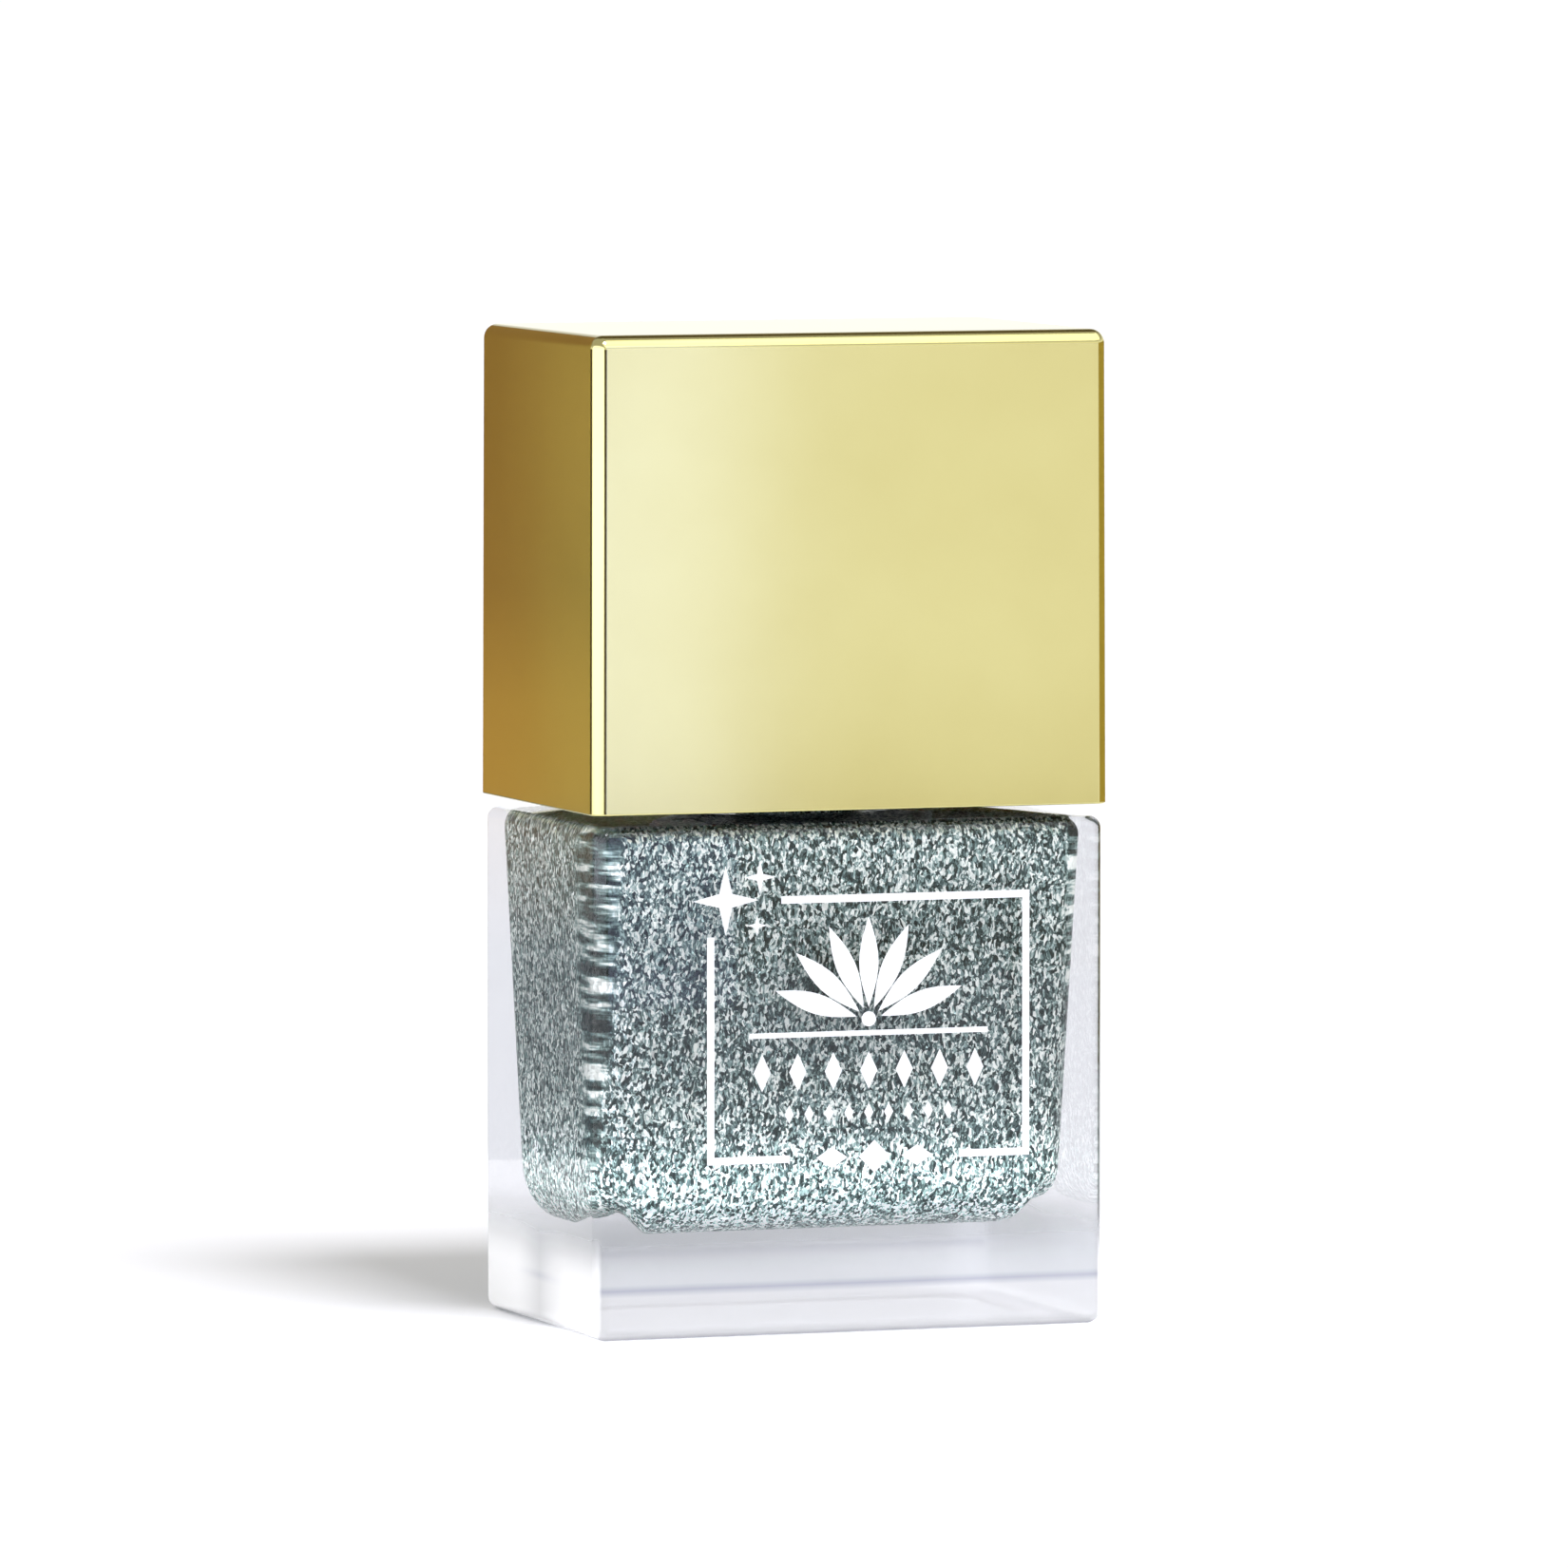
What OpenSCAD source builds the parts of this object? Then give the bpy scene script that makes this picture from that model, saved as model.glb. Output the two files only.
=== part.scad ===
// Nail polish bottle: a thick glass flask with glitter polish, a screw closure
// that carries the brush, and a rectangular overcap that pulls straight off.
// Origin: centre of the base. +Z up, +X along the width, the front faces -Y.

/* [Glass flask] */
// Width of the glass body
body_w = 35.8; // [30:0.1:44]
// Depth of the glass body, front to back
body_d = 23.3; // [20:0.1:30]
// Height of the shoulder above the table
body_h = 34.3; // [30:0.1:44]
// Radius of the upright edges
body_corner_r = 0.9; // [0.9:0.1:3]
// Radius where the walls turn into the base
heel_r = 0.9; // [0.5:0.1:0.9]
// Radius where the walls turn into the shoulder
shoulder_r = 0.8; // [0.5:0.1:0.9]
// Thickness of the glass base at its rim, from the table to the hollow
base_t = 6.5; // [5:0.1:9]
// Height of the push-up under the base
pushup_h = 0.4; // [0.3:0.1:3]
// Side wall at the shoulder
side_wall = 1.1; // [1:0.1:3]
// Front and back wall at the shoulder
face_wall = 1.1; // [1:0.1:3]
// How much thicker each side wall is at the base
side_taper = 0.5; // [0:0.1:2]
// How much thicker the front and back walls are at the base
face_taper = 1.8; // [0:0.1:6]

/* [Neck finish] */
// Outer diameter of the neck, under the thread
neck_d = 11.4; // [11:0.1:12]
// Diameter over the thread
thread_d = 12.8; // [12.4:0.1:13]
// Bore that the brush passes through
bore_d = 7.2; // [6.6:0.1:8]
// Height of the neck above the shoulder
neck_h = 11.4; // [10:0.1:12.4]
// Rise of the thread in one turn
thread_pitch = 2.1; // [1.9:0.1:2.4]
// Length of the thread, in turns
thread_turns = 1.5; // [1:0.25:2]

/* [Overcap] */
// Width of the overcap
cap_w = 36.3; // [34:0.1:46]
// Depth of the overcap
cap_d = 23.8; // [22.5:0.1:32]
// Height of the overcap
cap_h = 31.6; // [26:0.1:40]
// Thickness of the overcap's walls
cap_wall = 1.2; // [0.8:0.1:1.5]
// Gap between the overcap and the shoulder
cap_gap = 0.5; // [0.3:0.1:1.2]
// Radius of the overcap's edges
cap_edge_r = 0.8; // [0.4:0.1:1.2]
// How much each side leans in towards the top
cap_draft = 0.1; // [0:0.05:0.4]

/* [Closure and brush] */
// Outer diameter of the screw closure, without its grip ribs
closure_d = 16.2; // [16:0.1:17]
// Height of the screw closure
closure_h = 13.8; // [13:0.1:16]
// Number of grip ribs
rib_count = 40; // [24:4:60]
// Diameter of the brush stem at its flange
stem_d = 3.8; // [3:0.1:4]
// Largest diameter of the bristle tuft
tuft_d = 3.9; // [3:0.1:4.2]
// Free length of the bristles
tuft_len = 12; // [10:0.5:15]
// Diameter of each mixing ball
ball_d = 4; // [3:0.5:4.5]

/* [Front print] */
// Width of the printed frame
frame_w = 22.7; // [18:0.1:26]
// Height of the printed frame
frame_h = 17.7; // [14:0.1:20]
// Width of the printed line
line_w = 0.5; // [0.3:0.05:0.8]

/* [Hidden] */

rim_z = body_h + neck_h;         // top of the glass rim
ceiling_z = body_h - 1.1;        // top of the hollow, inside the shoulder
hollow_top_r = 2;                // radius of the hollow's upper corners
hollow_foot_r = 3.6;             // radius of the hollow's lower corners
fill_z = body_h + 1.4;           // level of the polish, just inside the neck
print_t = 0.04;                  // thickness of the ink
pushup = [body_w - 6.2, body_d - 6.2];  // size of the push-up's mouth

closure_z = body_h + 0.9;        // lower edge of the screw closure
closure_top_z = closure_z + closure_h;
liner_z = rim_z + 0.05;
liner_t = 0.9;
flange_z = liner_z + liner_t + 0.05;
flange_t = 0.95;
stem_end_z = base_t + 2 + tuft_len;
tip_z = base_t + 2;
tuft_r = tuft_d / 2;
stem_tip_r = 1.7;
socket_r = 1.2;
socket_depth = 3.9;
cap_z = body_h + cap_gap;
cap_top_z = cap_z + cap_h;
inner_ceiling_z = cap_top_z - cap_wall;
bore_clear = 0.3;                // room between the tuft and the polish round it

function lerp(a, b, t) = a + (b - a) * t;

// Corner of a block: a disc of radius r whose lower edge is rounded by k.
module corner_foot(r, k) {
    rotate_extrude($fn = 32) polygon(concat(
        [[0, 0]],
        [for (a = [0 : 15 : 90]) [r - k + k * sin(a), k - k * cos(a)]],
        [[0, k]]
    ));
}

// Block from z0 to z1 with upright edges of radius r; low and high round its
// lower and upper edges, and foot and head are its sizes [x, y] at each end.
module rounded_block(foot, head, z0, z1, r, low, high) {
    hull() for (x = [-1, 1], y = [-1, 1]) {
        translate([x * (foot[0] / 2 - r), y * (foot[1] / 2 - r), z0]) corner_foot(r, low);
        translate([x * (head[0] / 2 - r), y * (head[1] / 2 - r), z1]) mirror([0, 0, 1]) corner_foot(r, high);
    }
}

// Outside of the glass body, with its heel and shoulder radii and a low crown.
module flask_outside() {
    crown = 0.35;
    body = [body_w, body_d];
    hull() {
        rounded_block(body, body, 0, body_h - crown, body_corner_r, heel_r, shoulder_r);
        translate([0, 0, body_h - crown]) linear_extrude(crown) square([body_w - 13, body_d - 8], center = true);
    }
}

// The hollow: walls that lean in towards a rounded foot.
module hollow() {
    hull() for (x = [-1, 1], y = [-1, 1]) {
        translate([
            x * (body_w / 2 - side_wall - side_taper - hollow_foot_r),
            y * (body_d / 2 - face_wall - face_taper - hollow_foot_r),
            base_t + hollow_foot_r
        ]) sphere(r = hollow_foot_r, $fn = 32);
        translate([
            x * (body_w / 2 - side_wall - hollow_top_r),
            y * (body_d / 2 - face_wall - hollow_top_r),
            ceiling_z - hollow_top_r
        ]) sphere(r = hollow_top_r, $fn = 32);
    }
}

// A screw thread as one closed ridge: four points a ring, from root to crest.
// The crest sinks into the root over the first and last twelfth of a turn.
module thread_ridge(root_r, crest_r, z, root_w, crest_w) {
    per_turn = 24;
    n = ceil(per_turn * thread_turns);
    run_in = per_turn / 8;
    function crest_at(i) = lerp(root_r, crest_r, max(0.12, min(1, i / run_in, (n - i) / run_in)));
    function spot(i, r, dz) = [
        r * cos(360 * i / per_turn), r * sin(360 * i / per_turn), z + thread_pitch * i / per_turn + dz
    ];
    points = [for (i = [0 : n]) each [
        spot(i, root_r, -root_w / 2), spot(i, crest_at(i), -crest_w / 2),
        spot(i, crest_at(i), crest_w / 2), spot(i, root_r, root_w / 2)
    ]];
    // the order of each face's corners depends on which way the ridge points
    inward = crest_r < root_r;
    function turned(f) = inward ? f : [f[2], f[1], f[0]];
    faces = concat(
        [turned([0, 1, 2]), turned([0, 2, 3])],
        [for (i = [0 : n - 1], k = [0 : 3]) each [
            turned([4 * i + k, 4 * i + 4 + k, 4 * i + (k + 1) % 4]),
            turned([4 * i + (k + 1) % 4, 4 * i + 4 + k, 4 * i + 4 + (k + 1) % 4])
        ]],
        [turned([4 * n + 2, 4 * n + 1, 4 * n]), turned([4 * n + 3, 4 * n + 2, 4 * n])]
    );
    polyhedron(points, faces);
}

// Neck with a rounded lip, a bead above the shoulder and a fillet below it.
module neck_outside() {
    neck_r = neck_d / 2;
    lip = 0.5;
    translate([0, 0, ceiling_z]) cylinder(r = neck_r, h = rim_z - lip - ceiling_z, $fn = 96);
    translate([0, 0, rim_z - lip]) cylinder(r1 = neck_r, r2 = neck_r - 0.35, h = lip, $fn = 96);
    translate([0, 0, body_h - 0.6])
        cylinder(r1 = neck_r + 1.2, r2 = neck_r - 0.1, h = 1.3, $fn = 96);
    bead_z = body_h + 3.2;
    translate([0, 0, bead_z]) cylinder(r1 = neck_r - 0.2, r2 = neck_r + 0.5, h = 0.6, $fn = 96);
    translate([0, 0, bead_z + 0.6]) cylinder(r1 = neck_r + 0.5, r2 = neck_r - 0.2, h = 0.6, $fn = 96);
}

module glass_flask() {
    color([0.93, 0.94, 0.97, 0.35])
    difference() {
        union() {
            flask_outside();
            neck_outside();
            thread_ridge(neck_d / 2 - 0.15, thread_d / 2, body_h + 6.6, 1.5, 0.7);
        }
        hollow();
        translate([0, 0, ceiling_z - 2]) cylinder(d = bore_d, h = neck_h + 5, $fn = 96);
        // push-up under the base, which leaves a bearing rim
        rounded_block(pushup + [2, 2], pushup - [1, 1], -1, pushup_h, 2.5, 0.05, 0.3);
    }
}

// Where the brush moves, and where each ball lies, inside the polish.
module brush_channel() {
    translate([0, 0, tip_z - 0.8]) cylinder(r = tuft_r + bore_clear, h = fill_z, $fn = 64);
}

function ball_place(side) = [side < 0 ? -8.2 : 6.6, side < 0 ? 0.5 : -0.5, base_t + ball_d / 2 + 0.05];

module polish() {
    color("#8fa6aa")
    difference() {
        union() {
            hollow();
            translate([0, 0, ceiling_z - 2]) cylinder(d = bore_d, h = fill_z - ceiling_z + 2, $fn = 96);
        }
        brush_channel();
        for (side = [-1, 1])
            translate(ball_place(side)) sphere(d = ball_d, $fn = 48);
    }
}

module mixing_ball(side) {
    color("silver") translate(ball_place(side)) sphere(d = ball_d, $fn = 48);
}

// Printed shapes, drawn in the plane of the front face: x across, y up.
module bar(x0, y0, x1, y1) {
    translate([x0, y0]) square([x1 - x0, y1 - y0]);
}

module lozenge(x, y, w, h) {
    translate([x, y]) polygon([[-w / 2, 0], [0, -h / 2], [w / 2, 0], [0, h / 2]]);
}

// Four-pointed sparkle with hollow sides.
module sparkle(x, y, r, waist = 0.2) {
    translate([x, y]) polygon([for (k = [0 : 7])
        (k % 2 == 0 ? r : r * waist * 1.4) * [cos(45 * k), sin(45 * k)]]);
}

// A leaf between two points, drawn as two arcs.
module leaf(length, width, turn) {
    steps = 10;
    rotate(turn) polygon(concat(
        [for (i = [0 : steps]) [length * i / steps, width / 2 * sin(180 * i / steps)]],
        [for (i = [1 : steps - 1]) [length * (1 - i / steps), -width / 2 * sin(180 * i / steps)]]
    ));
}

module frame_outline() {
    left = -frame_w / 2;
    right = frame_w / 2;
    // the upper left corner is open for the sparkles, the lower edge for lozenges
    bar(left + 5.2, frame_h - line_w, right, frame_h);
    bar(right - line_w, 0, right, frame_h);
    bar(left, 0, left + line_w, frame_h - 2.6);
    bar(left, 0, left + 5.8, line_w);
    bar(right - 5, 0, right, line_w);
}

module front_ornament() {
    sparkle(-frame_w / 2 + 1.3, frame_h - 0.2, 2.3);
    sparkle(-frame_w / 2 + 3.7, frame_h + 1.3, 1.1);
    sparkle(-frame_w / 2 + 3.5, frame_h - 1.9, 0.7);
    // a fan of leaves over a ground line
    translate([0, 9.3]) {
        for (a = [18 : 24 : 162])
            translate([0.9 * cos(a), 0.9 * sin(a)]) leaf(6, 1.35, a);
        translate([0, 0.1]) circle(r = 0.5, $fn = 32);
    }
    bar(-8.4, 8.3, 8.4, 8.3 + line_w * 0.7);
    // two rows of lozenges, large and small
    for (k = [-3 : 3]) lozenge(2.5 * k, 6, 1.2, 2.5);
    for (k = [-4 : 4]) lozenge(1.4 * k, 3.2, 0.65, 1.2);
    // three lozenges in the gap of the lower edge
    for (k = [-1 : 1]) lozenge(0.4 + 3 * k, line_w / 2, 2.2, k == 0 ? 2.2 : 1.4);
}

module front_print() {
    color("white")
    translate([1.2, -body_d / 2, 11.5]) rotate([90, 0, 0]) linear_extrude(print_t) {
        frame_outline();
        front_ornament();
    }
}

// Block that leans in to its top, with sharp lower and rounded upper edges.
module cap_block(w, d, r, z0, z1) {
    rounded_block([w, d], [w - 2 * cap_draft, d - 2 * cap_draft], z0, z1, r, 0.05, r);
}

module overcap_shell() {
    color("#d9c36a")
    difference() {
        cap_block(cap_w, cap_d, cap_edge_r, cap_z, cap_top_z);
        cap_block(cap_w - 2 * cap_wall, cap_d - 2 * cap_wall, 0.5, cap_z - 1, inner_ceiling_z);
    }
}

// Sleeve that grips the closure, held in the shell by four upright webs.
module overcap_insert() {
    sleeve_in = closure_d / 2 + 0.42;
    sleeve_out = sleeve_in + 0.9;
    sleeve_z = cap_z + 0.8;
    roof_z = closure_top_z + 0.3;
    fit = 0.05;
    web_top = inner_ceiling_z - fit;
    half_w = cap_w / 2 - cap_wall - cap_draft - fit;
    half_d = cap_d / 2 - cap_wall - cap_draft - fit;
    color("#e8e6de")
    difference() {
        union() {
            translate([0, 0, sleeve_z]) cylinder(r = sleeve_out, h = roof_z + 1 - sleeve_z, $fn = 96);
            for (size = [[half_w, 0.5], [0.5, half_d]])
                translate([-size[0], -size[1], sleeve_z + 1.5])
                    cube([2 * size[0], 2 * size[1], web_top - sleeve_z - 1.5]);
        }
        translate([0, 0, sleeve_z - 1]) cylinder(r = sleeve_in, h = roof_z - sleeve_z + 1, $fn = 96);
    }
}

// Screw closure: ribbed skirt, thread inside, and a seat for liner and flange.
module screw_closure() {
    r = closure_d / 2;
    skirt_in = thread_d / 2 + 0.7;
    seat_in = thread_d / 2 + 0.25;
    seat_z = rim_z - 0.3;
    roof_z = flange_z + flange_t + 0.02;
    color("#1c1c1e")
    union() {
        difference() {
            union() {
                translate([0, 0, closure_z]) cylinder(r = r, h = closure_h - 0.6, $fn = 96);
                translate([0, 0, closure_top_z - 0.6]) cylinder(r1 = r, r2 = r - 0.6, h = 0.6, $fn = 96);
                for (k = [0 : rib_count - 1])
                    rotate(360 * k / rib_count)
                        translate([r - 0.3, -0.25, closure_z + 1]) cube([0.55, 0.5, closure_h - 2.2]);
            }
            translate([0, 0, closure_z - 1]) cylinder(r = skirt_in, h = seat_z - closure_z + 1, $fn = 96);
            translate([0, 0, seat_z - 0.5]) cylinder(r = seat_in, h = roof_z - seat_z + 0.5, $fn = 96);
            translate([0, 0, roof_z - 0.5]) cylinder(r = stem_d / 2 + 0.06, h = 1.15, $fn = 64);
        }
        thread_ridge(skirt_in + 0.15, thread_d / 2 + 0.12, body_h + 5.5, 1.4, 0.6);
    }
}

module sealing_liner() {
    color("#f2f2ee")
    translate([0, 0, liner_z]) difference() {
        cylinder(r = thread_d / 2 + 0.1, h = liner_t, $fn = 96);
        translate([0, 0, -1]) cylinder(r = stem_d / 2 + 0.2, h = liner_t + 2, $fn = 64);
    }
}

// Moulded stem: plug and flange held in the closure, tapered shaft, tuft socket.
module brush_stem() {
    top_r = stem_d / 2;
    color("#202022")
    difference() {
        rotate_extrude($fn = 96) polygon([
            [0, stem_end_z], [stem_tip_r - 0.25, stem_end_z], [stem_tip_r, stem_end_z + 0.3],
            [stem_tip_r, stem_end_z + 4.6], [stem_tip_r - 0.15, stem_end_z + 5],
            [top_r - 0.1, flange_z - 0.8], [top_r, flange_z], [thread_d / 2, flange_z],
            [thread_d / 2, flange_z + flange_t], [top_r, flange_z + flange_t],
            [top_r - 0.15, flange_z + flange_t + 0.55], [0, flange_z + flange_t + 0.55]
        ]);
        translate([0, 0, stem_end_z - 1]) cylinder(r = socket_r, h = socket_depth + 1, $fn = 64);
    }
}

// The tuft: a root inside the socket, then a body that swells to a rounded tip.
module brush_bristles() {
    root_r = socket_r - 0.03;
    belly_z = tip_z + tuft_len * 0.3;
    color("#2b2b2d")
    rotate_extrude($fn = 64) polygon(concat(
        [[0, stem_end_z + socket_depth - 1.1], [root_r, stem_end_z + socket_depth - 1.1],
         [root_r, stem_end_z], [root_r + 0.25, stem_end_z - 1.4]],
        [for (a = [0 : 15 : 90]) [tuft_r * cos(a), belly_z - (belly_z - tip_z) * sin(a)]]
    ));
}

// Flat wire that the bristles are folded round, at the top of the socket.
module bristle_anchor() {
    color("#b58a3c")
    translate([-(socket_r - 0.06), -0.15, stem_end_z + socket_depth - 1.05])
        cube([2 * (socket_r - 0.06), 0.3, 0.95]);
}

glass_flask();
polish();
mixing_ball(-1);  // mixing_ball_left
mixing_ball(1);  // mixing_ball_right
front_print();
overcap_shell();
overcap_insert();
screw_closure();
sealing_liner();
brush_stem();
brush_bristles();
bristle_anchor();
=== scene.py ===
"""Looks of a flat nail polish bottle: glass flask, glitter polish, screw closure with brush, gold overcap."""

import logging
import math
import random
from contextlib import contextmanager
from dataclasses import dataclass, replace
from enum import Enum
from functools import partial
from typing import Any, Callable, Iterator, Sequence

import bmesh
import bpy
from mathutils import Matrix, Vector


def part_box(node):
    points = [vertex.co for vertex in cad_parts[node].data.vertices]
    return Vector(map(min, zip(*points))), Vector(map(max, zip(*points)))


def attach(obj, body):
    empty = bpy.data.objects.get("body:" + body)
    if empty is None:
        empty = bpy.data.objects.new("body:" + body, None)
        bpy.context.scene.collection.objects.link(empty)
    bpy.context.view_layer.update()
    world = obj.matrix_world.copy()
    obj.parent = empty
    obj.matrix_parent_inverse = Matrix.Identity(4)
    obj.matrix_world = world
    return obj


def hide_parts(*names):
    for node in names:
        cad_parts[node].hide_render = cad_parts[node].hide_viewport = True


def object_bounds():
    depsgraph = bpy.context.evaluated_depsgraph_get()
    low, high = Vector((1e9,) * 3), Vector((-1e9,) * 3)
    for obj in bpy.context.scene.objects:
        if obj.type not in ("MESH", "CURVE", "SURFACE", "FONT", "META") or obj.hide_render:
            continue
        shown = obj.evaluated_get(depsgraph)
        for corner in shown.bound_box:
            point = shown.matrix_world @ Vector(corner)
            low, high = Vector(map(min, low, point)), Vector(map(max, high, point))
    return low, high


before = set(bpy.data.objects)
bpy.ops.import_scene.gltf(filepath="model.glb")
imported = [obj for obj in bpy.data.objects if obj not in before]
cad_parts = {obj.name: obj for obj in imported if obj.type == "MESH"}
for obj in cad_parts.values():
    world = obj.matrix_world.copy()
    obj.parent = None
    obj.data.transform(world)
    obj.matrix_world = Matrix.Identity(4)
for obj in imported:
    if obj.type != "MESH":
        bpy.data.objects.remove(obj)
CAD_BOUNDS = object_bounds()

LOG = logging.getLogger("bottle")
MM = 0.001  # one millimetre, in metres
Point = tuple[float, float, float]
Tones = tuple[tuple[float, str], ...]  # positions, each with its sRGB hex code
Piece = bpy.types.Object
Socket = bpy.types.NodeSocket
Inputs = dict[Any, Any]  # values or sockets for a node's inputs, by name or number
Adder = Callable[..., Socket]  # add_node, bound to one node tree


# ---------------------------------------------------------------- bench tools


class Element(Enum):
    """What a selection in edit mode is made of."""

    VERT = "verts"
    EDGE = "edges"
    FACE = "faces"


@dataclass(frozen=True)
class NodeBox:
    """Where a CAD node is, in millimetres."""

    low: Vector
    high: Vector

    @classmethod
    def of(cls, node: str) -> "NodeBox":
        """Reads a node's box from its mesh in model.glb."""
        low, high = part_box(node)
        return cls(Vector(low) / MM, Vector(high) / MM)

    @property
    def size(self) -> Vector:
        """Width, depth and height."""
        return self.high - self.low

    @property
    def middle(self) -> Vector:
        """Centre of the box."""
        return (self.high + self.low) / 2


def lerp(a: float, b: float, t: float) -> float:
    """Value at t on the way from a to b."""
    return a + (b - a) * t


def smooth(t: float) -> float:
    """Eased step from 0 to 1."""
    t = min(1.0, max(0.0, t))
    return t * t * (3 - 2 * t)


def steps(start: float, end: float, count: int) -> list[float]:
    """Evenly spaced values, both ends included."""
    return [lerp(start, end, k / count) for k in range(count + 1)]


def quarter(count: int) -> list[tuple[float, float]]:
    """Sines and cosines of evenly spaced angles from 0 to 90 degrees."""
    return [(math.sin(math.radians(a)), math.cos(math.radians(a))) for a in steps(0.0, 90.0, count)]


def deselect_all() -> None:
    """Leaves nothing selected, in object mode."""
    if bpy.context.mode != "OBJECT":
        bpy.ops.object.mode_set(mode="OBJECT")
    bpy.ops.object.select_all(action="DESELECT")


def take(obj: Piece) -> None:
    """Makes an object the only one selected, and the active one."""
    deselect_all()
    obj.select_set(True)
    bpy.context.view_layer.objects.active = obj


def primitive(kind: str, name: str, **settings: Any) -> Piece:
    """Adds a mesh primitive with its place in its mesh.

    Args:
        kind: The operator's name after primitive_ and before _add.
        name: Name of the new object.
        settings: What the operator takes, in metres.

    Returns:
        The new object, at the origin.
    """
    deselect_all()
    getattr(bpy.ops.mesh, f"primitive_{kind}_add")(**settings)
    obj = bpy.context.active_object
    obj.name = obj.data.name = name
    bpy.ops.object.transform_apply(location=True, rotation=True, scale=True)
    return obj


@contextmanager
def editing(obj: Piece, start: str = "DESELECT") -> Iterator[None]:
    """Opens an object in edit mode, and closes it again.

    Args:
        obj: The object to edit.
        start: SELECT to start with everything selected, DESELECT with nothing.
    """
    take(obj)
    bpy.ops.object.mode_set(mode="EDIT")
    bpy.ops.mesh.select_all(action=start)
    yield
    bpy.ops.object.mode_set(mode="OBJECT")


def pick(obj: Piece, kind: Element, test: Callable[[Any], bool]) -> None:
    """Selects, in edit mode, the elements that pass a test.

    Args:
        obj: The object being edited.
        kind: Vertices, edges or faces.
        test: Says whether an element is wanted.
    """
    bpy.context.tool_settings.mesh_select_mode = [kind is element for element in Element]
    bpy.ops.mesh.select_all(action="DESELECT")
    mesh = bmesh.from_edit_mesh(obj.data)
    for item in getattr(mesh, kind.value):
        if test(item):
            item.select_set(True)
    mesh.select_flush_mode()
    bmesh.update_edit_mesh(obj.data)


def bevel(radius: float, segments: int) -> None:
    """Rounds the selected edges with a radius in millimetres."""
    bpy.ops.mesh.bevel(offset=radius * MM, segments=segments, profile=0.5, affect="EDGES")


def modify(obj: Piece, kind: str, **settings: Any) -> None:
    """Adds a modifier, sets it and applies it.

    Args:
        obj: The object to change.
        kind: The modifier's type.
        settings: The modifier's attributes.
    """
    take(obj)
    modifier = obj.modifiers.new(kind.title(), kind)
    for key, value in settings.items():
        setattr(modifier, key, value)
    bpy.ops.object.modifier_apply(modifier=modifier.name)


def cut(obj: Piece, tool: Piece, operation: str) -> None:
    """Joins or cuts an object with a tool, and deletes the tool."""
    modify(obj, "BOOLEAN", operation=operation, object=tool, solver="EXACT")
    bpy.data.objects.remove(tool, do_unlink=True)


def join(pieces: Sequence[Piece], name: str) -> Piece:
    """Makes one object of several.

    Args:
        pieces: The objects to join.
        name: Name of the new object.

    Returns:
        The joined object.
    """
    take(pieces[0])
    for piece in pieces:
        piece.select_set(True)
    bpy.ops.object.join()
    obj = bpy.context.active_object
    obj.name = obj.data.name = name
    return obj


def finish_surface(obj: Piece, angle: float, weighted: bool = True) -> None:
    """Welds a surface, turns its faces outwards and smooths what bends little.

    Args:
        obj: The object to finish.
        angle: Bend in degrees from which an edge stays sharp.
        weighted: Whether large faces rule the shading near them.
    """
    with editing(obj, "SELECT"):
        bpy.ops.mesh.remove_doubles(threshold=0.0005 * MM)
        bpy.ops.mesh.normals_make_consistent(inside=False)
    take(obj)
    bpy.ops.object.shade_smooth_by_angle(angle=math.radians(angle))
    if weighted:
        modify(obj, "WEIGHTED_NORMAL", keep_sharp=True, weight=60)


def move_points(obj: Piece, change: Callable[[Vector], Vector]) -> None:
    """Moves every vertex, in millimetres.

    Args:
        obj: The object whose mesh is changed.
        change: Gives a point's new place from its old one.
    """
    for vert in obj.data.vertices:
        vert.co = change(vert.co / MM) * MM
    obj.data.update()


@dataclass(frozen=True)
class Ring:
    """One outline of a lofted wall, in millimetres: half sizes, corner radius and height."""

    x: float
    y: float
    r: float
    z: float

    def point(self, index: int, count: int) -> Vector:
        """Finds one of the outline's points.

        Args:
            index: Number of the point.
            count: How many points the outline has.

        Returns:
            Its place, in metres.
        """
        per_corner = count // 4
        corner, step = divmod(index, per_corner)
        angle = math.pi / 2 * (corner + (step + 0.5) / per_corner)
        side_x = 1 if corner in (0, 3) else -1
        side_y = 1 if corner in (0, 1) else -1
        x = side_x * (self.x - self.r) + self.r * math.cos(angle)
        y = side_y * (self.y - self.r) + self.r * math.sin(angle)
        return Vector((x, y, self.z)) * MM


def circles(*places: tuple[float, float]) -> list[Ring]:
    """Round outlines, each from its radius and height."""
    return [Ring(r, r, r, z) for r, z in places]


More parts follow.
